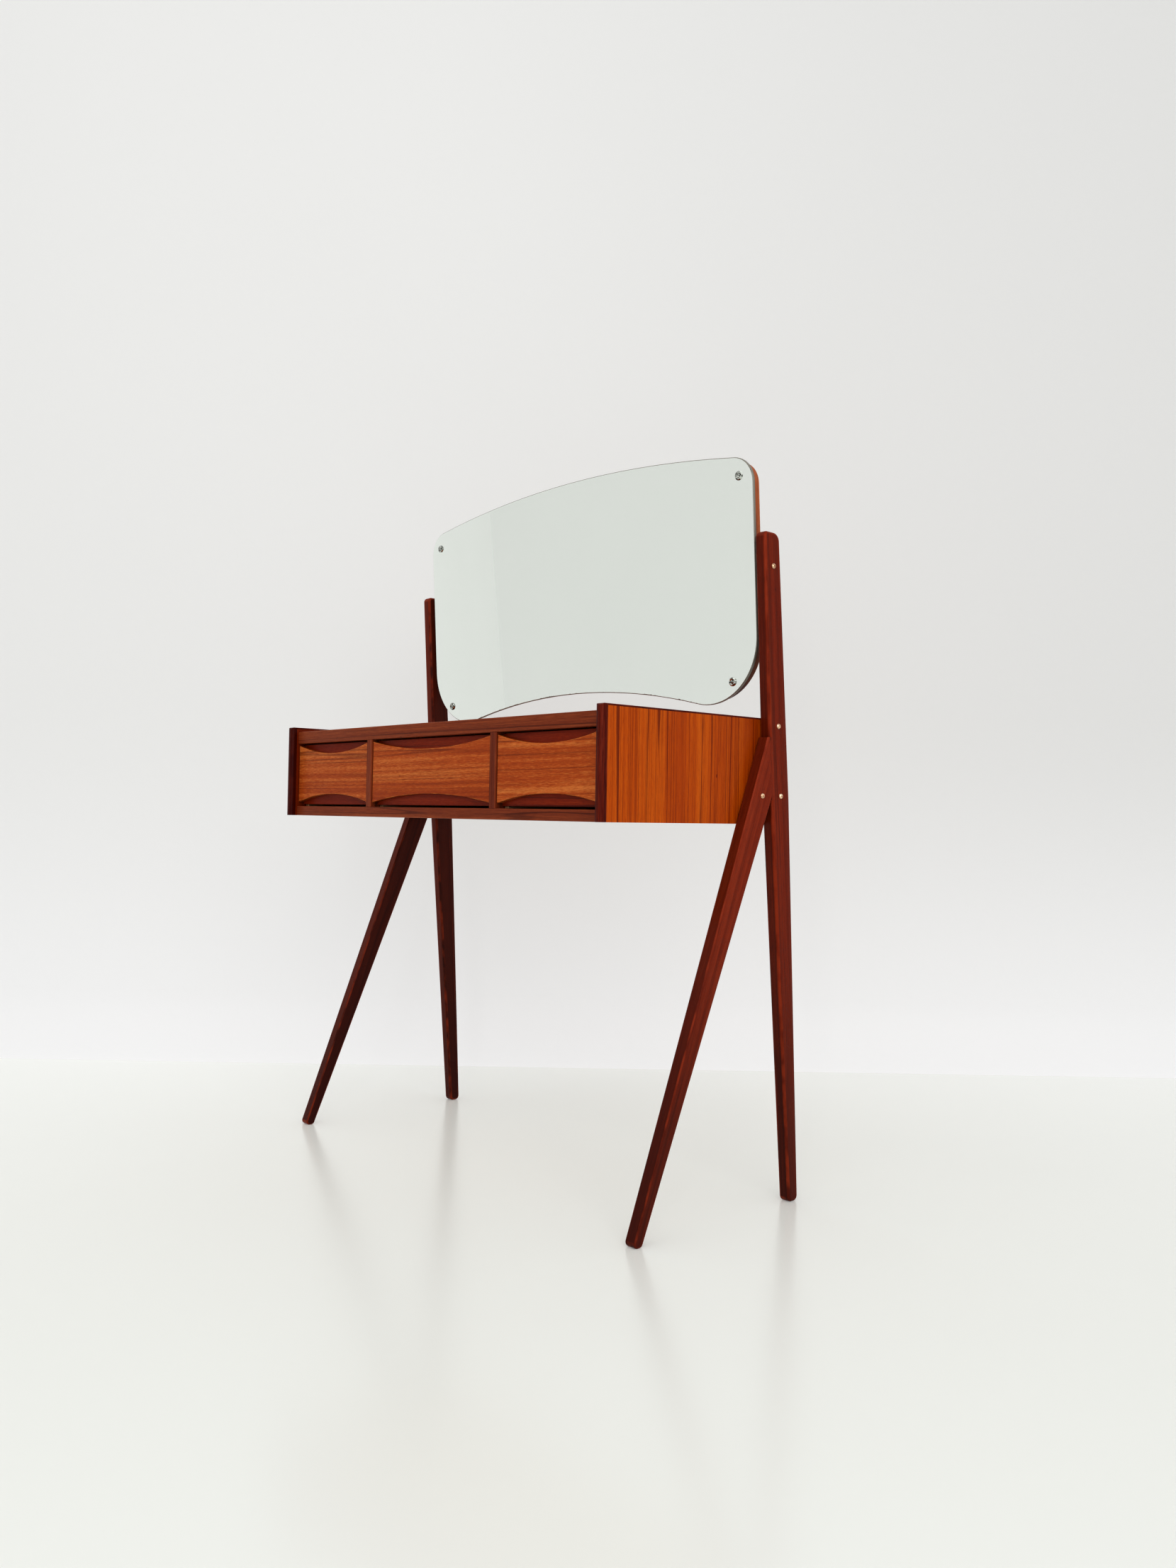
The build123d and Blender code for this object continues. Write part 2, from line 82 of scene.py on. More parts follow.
def aim_camera():
    """Stands the camera low at the sitter's right, looking across the table at its front."""
    forward = AHEAD * cos(RISE) + UP * sin(RISE)
    head = UP * cos(RISE) - AHEAD * sin(RISE)
    side = ASIDE * cos(ROLL) + head * sin(ROLL)
    head = head * cos(ROLL) - ASIDE * sin(ROLL)
    camera = bpy.data.objects.new("camera", bpy.data.cameras.new("camera"))
    camera.data.lens = LENS
    camera.data.clip_end = FAR_LIMIT
    placed = Matrix((side, head, -forward)).transposed().to_4x4()
    placed.translation = EYE
    camera.matrix_world = placed
    bpy.context.scene.collection.objects.link(camera)
    bpy.context.scene.camera = camera
    bpy.context.scene.view_settings.view_transform = "Standard"
    bpy.context.scene.view_settings.gamma = PICTURE_GAMMA


aim_camera()

# ------------------------------------------------------------------ node trees

# Sockets that share a name with others of their node are found by number.
MIX_FACTOR, MIX_FIRST, MIX_SECOND, MIX_RESULT = 0, 6, 7, 2
RANDOM_MOST, RANDOM_RESULT = 3, 1
SHADER_SHARE, SHADER_FIRST, SHADER_SECOND = 0, 1, 2


def tint(code):
    """A colour from its six-figure code, as the linear numbers that shaders take."""
    shares = [int(code[i:i + 2], 16) / 255 for i in (1, 3, 5)]
    linear = [s / 12.92 if s <= 0.04045 else ((s + 0.055) / 1.055) ** 2.4 for s in shares]
    return (*linear, 1.0)


class Level:
    """A value that varies from place to place: one socket, with sums written on it."""

    def __init__(self, tree, socket):
        self.tree = tree
        self.socket = socket

    def sum(self, operation, *values):
        return self.tree.maths(operation, self, *values)

    def __add__(self, other):
        return self.sum("ADD", other)

    def __sub__(self, other):
        return self.sum("SUBTRACT", other)

    def __mul__(self, other):
        return self.sum("MULTIPLY", other)

    def __truediv__(self, other):
        return self.sum("DIVIDE", other)

    def __rsub__(self, other):
        return self.tree.maths("SUBTRACT", other, self)

    def __gt__(self, other):
        return self.sum("GREATER_THAN", other)

    def __lt__(self, other):
        return self.sum("LESS_THAN", other)

    __radd__ = __add__
    __rmul__ = __mul__

    def between(self, low, high, start=0.0, end=1.0):
        """Runs smoothly from start to end as the value goes from low to high."""
        limits = {"Value": self, "From Min": low, "From Max": high, "To Min": start, "To Max": end}
        return self.tree.out("ShaderNodeMapRange", {"interpolation_type": "SMOOTHSTEP"}, limits)


class Tree:
    """A node tree that is being built, for a finish or for turned hardware."""

    def __init__(self, nodes):
        self.nodes = nodes

    def node(self, kind, settings=None, inputs=None):
        """Makes a node: its settings first, then the value or the link of each socket."""
        made = self.nodes.nodes.new(kind)
        for name, value in (settings or {}).items():
            if name == "stops":
                self.fill_ramp(made.color_ramp, value)
            else:
                setattr(made, name, value)
        for name, value in (inputs or {}).items():
            if isinstance(value, Level):
                self.nodes.links.new(value.socket, made.inputs[name])
            else:
                made.inputs[name].default_value = value
        return made

    def out(self, kind, settings=None, inputs=None, output=0):
        """Makes a node and gives one of its outputs."""
        return Level(self, self.node(kind, settings, inputs).outputs[output])

    def maths(self, operation, *values):
        return self.out("ShaderNodeMath", {"operation": operation}, dict(enumerate(values)))

    def vector(self, x, y, z):
        return self.out("ShaderNodeCombineXYZ", None, {0: x, 1: y, 2: z})

    @staticmethod
    def fill_ramp(ramp, stops):
        while len(ramp.elements) < len(stops):
            ramp.elements.new(1.0)
        for element, (place, colour) in zip(ramp.elements, stops):
            element.position = place
            element.color = colour


class Finish(Tree):
    """A material that is being mixed."""

    def __init__(self, name):
        self.material = bpy.data.materials.new(name)
        self.material.use_nodes = True
        super().__init__(self.material.node_tree)
        self.nodes.nodes.clear()
        self.place = self.out("ShaderNodeTexCoord", output="Object")

    def lanes(self, grain, face):
        """Distances along the grain, across it on the face, and into the face."""
        axes = (grain, face.cross(grain), face)
        settings = {"operation": "DOT_PRODUCT"}
        return [
            self.out("ShaderNodeVectorMath", settings, {0: self.place, 1: axis}, "Value")
            for axis in axes
        ]

    def noise(self, where, detail=2.0, rough=0.5):
        sizes = {"Vector": where, "Scale": 1.0, "Detail": detail, "Roughness": rough}
        return self.out("ShaderNodeTexNoise", None, sizes)

    def contours(self, x, y, z, inner, outer):
        """Thin lines that follow the middle height of a slow noise, as growth rings do."""
        height = self.noise(self.vector(x, y, z), 1.0) - 0.5
        return height.sum("ABSOLUTE").between(inner, outer, 1.0, 0.0)

    def knots(self, along, across):
        """Small dark specks here and there, longer with the grain."""
        places = {"Vector": self.vector(along * 4, across * 8, 0.0), "Scale": 1.0}
        settings = {"voronoi_dimensions": "2D"}
        return self.out("ShaderNodeTexVoronoi", settings, places).between(0.009, 0.016, 1.0, 0.0)

    def ramp(self, level, stops):
        return self.out("ShaderNodeValToRGB", {"stops": stops}, {"Fac": level}, "Color")

    def blend(self, share, first, second, mode="MIX"):
        """Mixes two colours."""
        inputs = {MIX_FACTOR: share, MIX_FIRST: first, MIX_SECOND: second}
        settings = {"data_type": "RGBA", "blend_type": mode}
        return self.out("ShaderNodeMix", settings, inputs, MIX_RESULT)

    def attribute(self, name):
        return self.out("ShaderNodeAttribute", {"attribute_name": name}, None, "Fac")

    def bump(self, height, distance, strength=1.0):
        inputs = {"Height": height, "Distance": distance, "Strength": strength}
        return self.out("ShaderNodeBump", None, inputs)

    def seal(self, **sockets):
        """Closes the finish with one shader, its sockets named with _ for a space."""
        named = {name.replace("_", " "): value for name, value in sockets.items()}
        shader = self.out("ShaderNodeBsdfPrincipled", None, named)
        self.node("ShaderNodeOutputMaterial", None, {"Surface": shader})
        return self.material


# ------------------------------------------------------------------ finishes

MIRROR_TILT = radians(3.5)
MIRROR_FACING = Vector((0, -cos(MIRROR_TILT), -sin(MIRROR_TILT)))
MIRROR_UP = Vector((0, -sin(MIRROR_TILT), cos(MIRROR_TILT)))
PIVOT = next(Vector(joint["pos_m"]) for joint in frame["joints"] if joint["name"] == "mirror_tilt")
SCOOP_RADIUS = 1.451
SCOOP_DEPTH = 1.639
FRAY_REACH = 5.0 * MM
FRAY_START = 4.0 * MM
FRAY_SOFT = 0.35 * MM
GRAIN_DRIFT = 14 * MM
PORE_DEPTH = 0.12 * MM
METAL_GRAIN_DEPTH = 0.03 * MM
MOULDED_GRAIN_DEPTH = 0.05 * MM


def wood(name, grain, face, tones, lines=0.5, wear_and_highlight=0.3, gloss=0.32, sheen=0.12, fleck=25.0):
    """A planed board. Tones run from the dark lines through shade and body to the lights.

    Distances are multiplied by how often the figure changes in a metre: seldom along the grain,
    often across it. The attributes set the boards apart and say where painted shade and darker tones
    go.
    """
    line, shade, body, light = [tint(code) for code in tones]
    finish = Finish(name)
    along, across, into = finish.lanes(grain, face)
    board = finish.attribute("board")
    into = into + board
    drift = finish.noise(finish.vector(along * 2.2, across * 4, into * 4), 1.0) - 0.5
    lane = across + drift * GRAIN_DRIFT
    layer = into + drift * GRAIN_DRIFT

    broad = finish.noise(finish.vector(along * 0.5, lane * 17, layer * 17), 1.0)
    bands = finish.noise(finish.vector(along * 0.8, lane * 95, layer * 95), 4.0, 0.65)
    hairs = finish.noise(finish.vector(along * fleck, lane * 760, layer * 760), 2.0, 0.65)
    figure = (broad * 0.34 + bands * 0.36 + hairs * 0.30).between(0.32, 0.68)
    colour = finish.ramp(figure, [(0.0, shade), (0.5, body), (1.0, light)])

    growth = finish.contours(along * 0.25, lane * 30, layer * 30, 0.004, 0.014)
    finer = finish.contours(along * 0.6, lane * 130, layer * 130, 0.008, 0.040)
    growth = growth * lines + finer * (lines * 0.45)
    colour = finish.blend(growth, colour, line)
    colour = finish.blend(finish.knots(along + board, lane) * lines, colour, line)
    # Painted shade towards the foot of the frame, and a darker tone towards the back of the side
    # panels.
    colour = finish.blend(finish.attribute("deep").between(0.0, 1.0) * 0.55, colour, line)
    # Painted shade on frame faces turned to the sitter and the casing; a darker tone on the side
    # panels' inner faces and on the band's underside.
    colour = finish.blend(finish.attribute("hidden") * 0.9, colour, line)

    pores = finish.noise(finish.vector(along * 70, lane * 2600, layer * 2600), 1.0)
    pores = pores.between(0.58, 0.70)
    colour = finish.blend(pores * 0.4, colour, line)

    # Lighter arrises: real wear, and on the frame and the drawer plates also a painted highlight
    # along the rounded edges.
    rubbed_and_glinting = finish.noise(finish.vector(along * 30, across * 60, into * 60))
    worn_and_highlit = finish.attribute("arris") * rubbed_and_glinting.between(0.35, 0.65) * wear_and_highlight
    colour = finish.blend(worn_and_highlit, colour, light)

    dull = finish.noise(finish.vector(along * 9, across * 14, into * 14), 3.0)
    rough = dull.between(0.25, 0.75, gloss - 0.05, gloss + 0.07) + pores * 0.15
    height = hairs * 0.4 - pores - growth * 0.3
    normal = finish.bump(height, PORE_DEPTH, 0.35)
    return finish.seal(
        Base_Color=colour, Roughness=rough, Normal=normal, Specular_IOR_Level=sheen
    )


POST_LEAN = Vector((0, -0.0707, 1)).normalized()
LEG_RAKE = Vector((0, 0.3796, 1)).normalized()

FRAME_TONES = ("#2e0803", "#6a1e06", "#80290a", "#963a1a")
SOLID_TONES = ("#401006", "#6c2a14", "#823c1f", "#9a502b")
DARK_TONES = ("#200200", "#400500", "#500a00", "#843018")
PLATE_TONES = ("#541600", "#923a0e", "#ae521a", "#d08040")
BOARD_TONES = ("#480900", "#7a1f00", "#902c02", "#a84112")
PANEL_TONES = ("#6c1e00", "#a64400", "#b75300", "#c8660e")
EDGE_TONES = ("#2c0c05", "#9c5432", "#b06540", "#c07850")
BEECH_TONES = ("#8f6440", "#b98d62", "#c99f74", "#d9b48c")
PALE_TONES = ("#8a6038", "#b08253", "#c29665", "#d2aa7c")

finishes = {
    "post": wood("satin_post_wood", POST_LEAN, RIGHT, FRAME_TONES, 0.35, 0.6, 0.28),
    "leg": wood("satin_leg_wood", LEG_RAKE, RIGHT, FRAME_TONES, 0.35, 0.6, 0.28),
    "upright_teak": wood("upright_teak", UP, -BACK, SOLID_TONES),
    "upright_dark_teak": wood("upright_dark_teak", UP, -BACK, DARK_TONES, 0.4, 0.15, 0.28),
    "level_teak": wood("level_teak", RIGHT, -BACK, SOLID_TONES),
    "lengthwise_teak": wood("lengthwise_teak", BACK, UP, DARK_TONES, 0.4, 0.3, 0.28),
    "plate": wood("plate_teak", RIGHT, -BACK, PLATE_TONES, 0.4, 0.9, fleck=80.0),
    "board": wood("board_mahogany", RIGHT, -BACK, BOARD_TONES, fleck=60.0),
    "panel": wood("panel_veneer", UP, RIGHT, PANEL_TONES, 0.8),
    "top": wood("top_veneer", RIGHT, UP, PANEL_TONES, 0.8),
    "band": wood("edge_band_teak", UP, RIGHT, EDGE_TONES, 0.3),
    "mirror_back": wood("mirror_back_veneer", RIGHT, BACK, EDGE_TONES, 0.3),
}

finishes["beech_side"] = wood("beech_side", BACK, RIGHT, BEECH_TONES, 0.15, 0.1, 0.5, 0.5)
finishes["beech_back"] = wood("beech_back", RIGHT, BACK, BEECH_TONES, 0.15, 0.1, 0.5, 0.5)
finishes["runner"] = wood("runner_wood", BACK, UP, PALE_TONES, 0.2, 0.1, 0.6, 0.5)
finishes["ply"] = wood("plywood_level", RIGHT, UP, PALE_TONES, 0.2, 0.1, 0.55, 0.5)
finishes["ply_back"] = wood("plywood_upright", RIGHT, BACK, PALE_TONES, 0.2, 0.1, 0.55, 0.5)
finishes["divider"] = wood("divider_core", BACK, RIGHT, PALE_TONES, 0.25, 0.1, 0.6, 0.5)


def metal(name, tones, gloss, mottle=0.2):
    """A plated or polished metal, a little dulled by handling."""
    finish = Finish(name)
    x, y, z = finish.lanes(RIGHT, -BACK)
    cloud = finish.noise(finish.vector(x * 260, y * 260, z * 260), 3.0, 0.6)
    fine = finish.noise(finish.vector(x * 2400, y * 2400, z * 2400), 2.0)
    dark, bright = [tint(code) for code in tones]
    colour = finish.blend(cloud.between(0.35, 0.65), dark, bright)
    rough = cloud.between(0.3, 0.7, gloss + mottle, gloss) + fine * 0.05
    normal = finish.bump(fine, METAL_GRAIN_DEPTH, 0.3)
    return finish.seal(Base_Color=colour, Metallic=1.0, Roughness=rough, Normal=normal)


finishes["brass"] = metal("polished_brass", ("#c29a78", "#ffe4c8"), 0.20)
finishes["chrome"] = metal("polished_chrome", ("#3c3e39", "#dfe2dc"), 0.06, 0.12)
finishes["steel"] = metal("bright_steel", ("#77736d", "#a9a6a0"), 0.25)


def plain_matt(name, tones, gloss):
    """A dull moulded or pressed material, faintly mottled."""
    finish = Finish(name)
    x, y, z = finish.lanes(RIGHT, -BACK)
    cloud = finish.noise(finish.vector(x * 500, y * 500, z * 500), 3.0, 0.6)
    colour = finish.blend(cloud.between(0.35, 0.65), *[tint(code) for code in tones])
    rough = cloud.between(0.3, 0.7, gloss - 0.08, gloss + 0.08)
    normal = finish.bump(cloud, MOULDED_GRAIN_DEPTH, 0.4)
    return finish.seal(Base_Color=colour, Roughness=rough, Normal=normal)


finishes["washer"] = plain_matt("fibre_washer", ("#2a1712", "#40261d"), 0.75)
finishes["bush"] = plain_matt("clear_bush", ("#c9c8bf", "#dddcd4"), 0.5)


def silvered_glass():
    """Looking glass: silvered face, bare bevel and edge, and a frayed lower rim of lost silver."""
    finish = Finish("silvered_glass")
    silver = finish.attribute("silvered")
    rise, across, _ = finish.lanes(MIRROR_UP, MIRROR_FACING)
    from_pivot = rise - PIVOT.dot(MIRROR_UP)
    from_centre = from_pivot + SCOOP_DEPTH
    height = (across * across + from_centre * from_centre).sum("SQRT") - SCOOP_RADIUS
    fray = finish.noise(finish.vector(across * 170, rise * 170, 0.0), 4.0, 0.6)
    coarse = finish.noise(finish.vector(across * 22, rise * 22, 3.0), 1.0)
    limit = fray * FRAY_REACH + coarse * FRAY_REACH - FRAY_START
    gone = (limit - height).between(0.0, FRAY_SOFT)
    faint = finish.noise(finish.vector(across * 3, rise * 3, 0.0), 2.0)
    face = finish.blend(faint, tint("#f5f9f5"), tint("#f8fcf8"))
    face = finish.blend(gone * 0.9, face, tint("#23241f"))
    edge = finish.blend(faint, tint("#6b675e"), tint("#8b877d"))
    colour = finish.blend(silver, edge, face)
    metal_share = silver * (1 - gone)
    rough = metal_share * -0.10 + 0.12
    return finish.seal(Base_Color=colour, Metallic=metal_share, Roughness=rough)


finishes["glass"] = silvered_glass()

# ------------------------------------------------------------------ finished boards

WELD = 0.002 * MM
FLAT_BEND = radians(0.6)
SHARP_BEND = radians(35)
BOARD_CREASE = radians(38)
TURNED_CREASE = radians(40)
EASED_STEPS = 3
NARROW = 2 * MM
BOARD_COUNT = 97
BOARD_STEP = 0.37
FOOT_REACH = 0.6
REAR_START = 0.02
REAR_REACH = 0.19


def merged_copy(node):
    """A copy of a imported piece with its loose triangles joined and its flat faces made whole."""
    solid = bmesh.new()
    solid.from_mesh(frame["nodes"][node].data)
    bmesh.ops.remove_doubles(solid, verts=solid.verts, dist=WELD)
    bmesh.ops.dissolve_limit(solid, angle_limit=FLAT_BEND, verts=solid.verts, edges=solid.edges)
    return solid


def is_narrow(face):
    """True for the slivers that a rounded arris is made of."""
    return 2 * face.calc_area() < NARROW * face.calc_perimeter()


def ease(solid, width):
    """Takes the sharp arrises off and marks the new narrow faces, so that wear and painted highlights
    can find them.
    """
    sharp = [e for e in solid.edges if e.is_manifold and e.calc_face_angle() > SHARP_BEND]
    round_arris = {"segments": EASED_STEPS, "profile": 0.5, "affect": "EDGES"}
    made = bmesh.ops.bevel(solid, geom=sharp, offset=width, clamp_overlap=True, **round_arris)
    eased = set(made["faces"])
    layer = solid.verts.layers.float.new("arris")
    for vert in solid.verts:
        if all(face in eased or is_narrow(face) for face in vert.link_faces):
            vert[layer] = 1.0


def give_values(mesh, name, value_of):
    """Adds a named value at each vertex."""
    layer = mesh.attributes.new(name, "FLOAT", "POINT")
    layer.data.foreach_set("value", [value_of(v.co) for v in mesh.vertices])


def show(mesh, name, body, finish, replaced):
    """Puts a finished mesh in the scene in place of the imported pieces."""
    mesh.materials.clear()
    mesh.materials.append(finishes[finish])
    piece = bpy.data.objects.new(name, mesh)
    bpy.context.scene.collection.objects.link(piece)
    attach(piece, body)
    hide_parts(*replaced)
    return piece


def at_foot(corner):
    """Painted shade: one at the floor, fading to nought up the leg."""
    return 1 - corner.z / FOOT_REACH


def at_rear(corner):
    """Nought at mid-depth, growing to one at the table's back."""
    return (corner.y - REAR_START) / REAR_REACH


def dress(node, finish, width=0.4, hidden=None, deep=None):
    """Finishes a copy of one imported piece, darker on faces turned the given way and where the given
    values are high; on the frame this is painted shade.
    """
    solid = merged_copy(node)
    ease(solid, width * MM)
    mesh = bpy.data.meshes.new(f"finished_{node}")
    solid.to_mesh(mesh)
    solid.free()
    mesh.shade_smooth()
    mesh.set_sharp_from_angle(angle=BOARD_CREASE)
    seed = sum(ord(letter) * (place + 1) for place, letter in enumerate(node))
    give_values(mesh, "board", lambda corner: seed % BOARD_COUNT * BOARD_STEP)
    if deep:
        give_values(mesh, "deep", deep)
    if hidden:
        turned = mesh.attributes.new("hidden", "FLOAT", "FACE")
        shares = [max(face.normal.dot(hidden), 0.0) for face in mesh.polygons]
        turned.data.foreach_set("value", shares)
    body = frame["nodes"][node]["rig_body"]
    piece = show(mesh, f"finished_{node}", body, finish, [node])
    weighted = piece.modifiers.new("weighted_normals", "WEIGHTED_NORMAL")
    weighted.keep_sharp = True
    return piece


hands = (("left", -RIGHT), ("right", RIGHT))
for hand, outward in hands:
    # Painted shade: the frame is darkened on the faces turned to the sitter and to the casing, where
    # less light falls, and towards the floor.
    shaded = outward * -0.85 - BACK * 0.5
    dress(f"rear_post_{hand}", "post", hidden=shaded, deep=at_foot)
    dress(f"front_leg_{hand}", "leg", 0.8, hidden=shaded, deep=at_foot)
    dress(f"front_lipping_{hand}", "upright_dark_teak", 0.5)
    dress(f"top_lipping_{hand}", "lengthwise_teak", 0.3)
    dress(f"divider_lipping_{hand}", "upright_teak", 0.3)
    # The side panel is darker on its inner face and towards the back.
    dress(f"side_panel_{hand}", "panel", hidden=-outward, deep=at_rear)
    dress(f"divider_{hand}", "divider")
for level in ("top", "bottom"):
    dress(f"{level}_front_rail", "level_teak", 0.3)
dress("table_top", "top")
dress("bottom_panel", "ply", 0.2)
dress("back_panel", "ply_back", 0.2)
for strip in ("bearers", "kickers", "stops"):
    dress(f"drawer_{strip}", "runner")
for drawer in ("left", "centre", "right"):
    name = f"drawer_{drawer}"
    dress(f"{name}_front_plate", "plate", 0.4)
    dress(f"{name}_front_board", "board", 0.5)
    dress(f"{name}_bottom", "ply", 0.2)
    dress(f"{name}_back", "beech_back")
    for hand in ("left", "right"):
        dress(f"{name}_side_{hand}", "beech_side", 0.6)
dress("mirror_board", "mirror_back", 0.3)
# The band's faces turned downward are darkened.
dress("mirror_edge_band", "band", 0.4, hidden=-UP)


def glaze():
    """Finishes the looking glass: silver on the face only, with bare bevels and edges."""
    glass = dress("mirror_glass", "glass", 0.15)
    silvered = glass.data.attributes.new("silvered", "FLOAT", "FACE")
    facings = [float(face.normal.dot(MIRROR_FACING) > 0.99) for face in glass.data.polygons]
    silvered.data.foreach_set("value", facings)


glaze()
dress("pivot_spacer_left", "washer", 0.3)
dress("pivot_spacer_right", "washer", 0.3)
for node, finish in (
    ("leg_dowels_left", "runner"),
    ("leg_dowels_right", "runner"),
    ("glass_bushes", "bush"),
):
    kept = frame["nodes"][node].data.materials
    kept.clear()
    kept.append(finishes[finish])

# ------------------------------------------------------------------ turned hardware


TURNING_STEPS = 41
TURNING_WELD = 0.001 * MM


class Turning(Tree):
    """A node tree that turns a small part on a lathe and sets one at each point it is given."""

    def __init__(self, name, sizes):
        group = bpy.data.node_groups.new(name, "GeometryNodeTree")
        super().__init__(group)
        ports = group.interface
        ports.new_socket("Seats", in_out="INPUT", socket_type="NodeSocketGeometry")
        for size in sizes:
            ports.new_socket(size, in_out="INPUT", socket_type="NodeSocketFloat")
        ports.new_socket("Seed", in_out="INPUT", socket_type="NodeSocketInt")
        ports.new_socket("Finish", in_out="INPUT", socket_type="NodeSocketMaterial")
        ports.new_socket("Parts", in_out="OUTPUT", socket_type="NodeSocketGeometry")
        given = self.node("NodeGroupInput")
        self.given = {port.name: Level(self, port) for port in given.outputs if port.name}

    def lathe(self, rows, profile):
        """Turns a profile, given as radius and height at each row, round the upright axis."""
        blank_size = {"Size X": 1.0, "Size Y": 1.0, "Vertices X": TURNING_STEPS, "Vertices Y": rows}
        blank = self.out("GeometryNodeMeshGrid", None, blank_size)
        place = self.out("GeometryNodeInputPosition")
        spread = self.node("ShaderNodeSeparateXYZ", None, {0: place}).outputs
        turn = (Level(self, spread[0]) + 0.5) * (2 * pi)
        row = ((Level(self, spread[1]) + 0.5) * (rows - 1)).sum("ROUND")
        radius, height = profile(row)
        place = self.vector(radius * turn.sum("COSINE"), radius * turn.sum("SINE"), height)
        turned = self.out("GeometryNodeSetPosition", None, {"Geometry": blank, "Position": place})
        joined = {"Geometry": turned, "Distance": TURNING_WELD}
        return self.out("GeometryNodeMergeByDistance", None, joined)

    def quarter(self, row, first, last):
        """Goes from nought to a right angle between two rows."""
        share = ((row - first) / (last - first)).sum("MINIMUM", 1.0).sum("MAXIMUM", 0.0)
        return share * QUARTER_TURN

    def set_out(self, part):
        """Stands the part at every seat, facing as the seat does, each turned its own way."""
        facing = self.out(
            "GeometryNodeInputNamedAttribute", {"data_type": "FLOAT_VECTOR"}, {"Name": "facing"}
        )
        upright = self.out("FunctionNodeAlignRotationToVector", {"axis": "Z"}, {"Vector": facing})
        drawn = {RANDOM_MOST: pi, "Seed": self.given["Seed"]}
        angle = self.out(
            "FunctionNodeRandomValue", {"data_type": "FLOAT"}, drawn, RANDOM_RESULT
        )
        spin = self.out("FunctionNodeAxisAngleToRotation", None, {"Angle": angle})
        turned = self.out(
            "FunctionNodeRotateRotation", {"rotation_space": "LOCAL"}, {0: upright, 1: spin}
        )
        placed = {"Points": self.given["Seats"], "Instance": part, "Rotation": turned}
        copies = self.out("GeometryNodeInstanceOnPoints", None, placed)
        solid = self.out("GeometryNodeRealizeInstances", None, {"Geometry": copies})
        shown = {"Geometry": solid, "Material": self.given["Finish"]}
        self.node("NodeGroupOutput", None, {0: self.out("GeometryNodeSetMaterial", None, shown)})
        return self.nodes


def slotted_heads():
    """A tree for round-headed screws: shank, dome and slot. A slot depth of nought gives a pin."""
    sizes = (
        "Head Radius", "Head Height", "Shank Radius", "Shank Length", "Slot Width", "Slot Depth"
    )
    tree = Turning("round_headed_screws", sizes)
    head, height, shank, length, width, depth = [tree.given[size] for size in sizes]

    def profile(row):
        """Row 0 is the tip's middle, 1 its rim, 2 the shank's top, and 3 to 13 the dome."""
        bend = tree.quarter(row, 3, 13)
        on_head = row > 2.5
        radius = bend.sum("COSINE") * head * on_head + (1 - on_head) * (row > 0.5) * shank
        return radius, bend.sum("SINE") * height - (row < 1.5) * length

    blank = tree.lathe(14, profile)
    cutter_size = tree.vector(head * 3, width, depth * 2)
    cutter = tree.out("GeometryNodeMeshCube", None, {"Size": cutter_size})
    raised = {"Geometry": cutter, "Translation": tree.vector(0.0, 0.0, height)}
    cutter = tree.out("GeometryNodeTransform", None, raised)
    cut = tree.node("GeometryNodeMeshBoolean", {"operation": "DIFFERENCE", "solver": "EXACT"})
    tree.nodes.links.new(blank.socket, cut.inputs["Mesh 1"])
    tree.nodes.links.new(cutter.socket, cut.inputs["Mesh 2"])
    has_slot = depth > 0.0
    part = tree.out(
        "GeometryNodeSwitch",
        {"input_type": "GEOMETRY"},
        {"Switch": has_slot, "False": blank, "True": Level(tree, cut.outputs["Mesh"])},
    )
    return tree.set_out(part)


def dished_cups():
    """A tree for the raised washers under the screws that hold the glass."""
    sizes = ("Rim Radius", "Mouth Radius", "Bore Radius", "Height", "Seat Height")
    tree = Turning("cup_washers", sizes)
    rim, mouth, bore, height, seat = [tree.given[size] for size in sizes]

    def profile(row):
        """Row 0 is the bore's foot, 1 to 9 the raised outside, 12 the seat, and 13 row 0 again."""
        bend = tree.quarter(row, 1, 9)
        dish = tree.quarter(row, 9, 12) / QUARTER_TURN
        outside = mouth + (rim - mouth) * bend.sum("COSINE") - (mouth - bore) * dish
        radius = outside * (row > 0.5) + (row < 0.5) * bore
        return radius, (height * bend.sum("SINE") - (height - seat) * dish) * (row < 12.5)

    return tree.set_out(tree.lathe(14, profile))


def islands(node):
    """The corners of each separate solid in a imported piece."""
    solid = bmesh.new()
    solid.from_mesh(frame["nodes"][node].data)
    bmesh.ops.remove_doubles(solid, verts=solid.verts, dist=WELD)
    left = set(solid.verts)
    found = []
    while left:
        edge = [min(left, key=lambda v: v.index)]
        left.discard(edge[0])
        group = []
        while edge:
            vert = edge.pop()
            group.append(vert.co.copy())
            for other in (e.other_vert(vert) for e in vert.link_edges):
                if other in left:
                    left.discard(other)
                    edge.append(other)
        found.append(group)
    solid.free()
    return found


def seats_of(node, facing, proud):
    """The middle of each part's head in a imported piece, a given height below its top."""
    aside = facing.orthogonal().normalized()
    ahead = facing.cross(aside)
    seats = []
    for corners in islands(node):
        spans = [[corner.dot(axis) for corner in corners] for axis in (aside, ahead, facing)]
        middles = [(min(span) + max(span)) / 2 for span in spans[:2]]
        top = max(spans[2]) - proud
        seats.append((aside * middles[0] + ahead * middles[1] + facing * top, facing))
    return seats


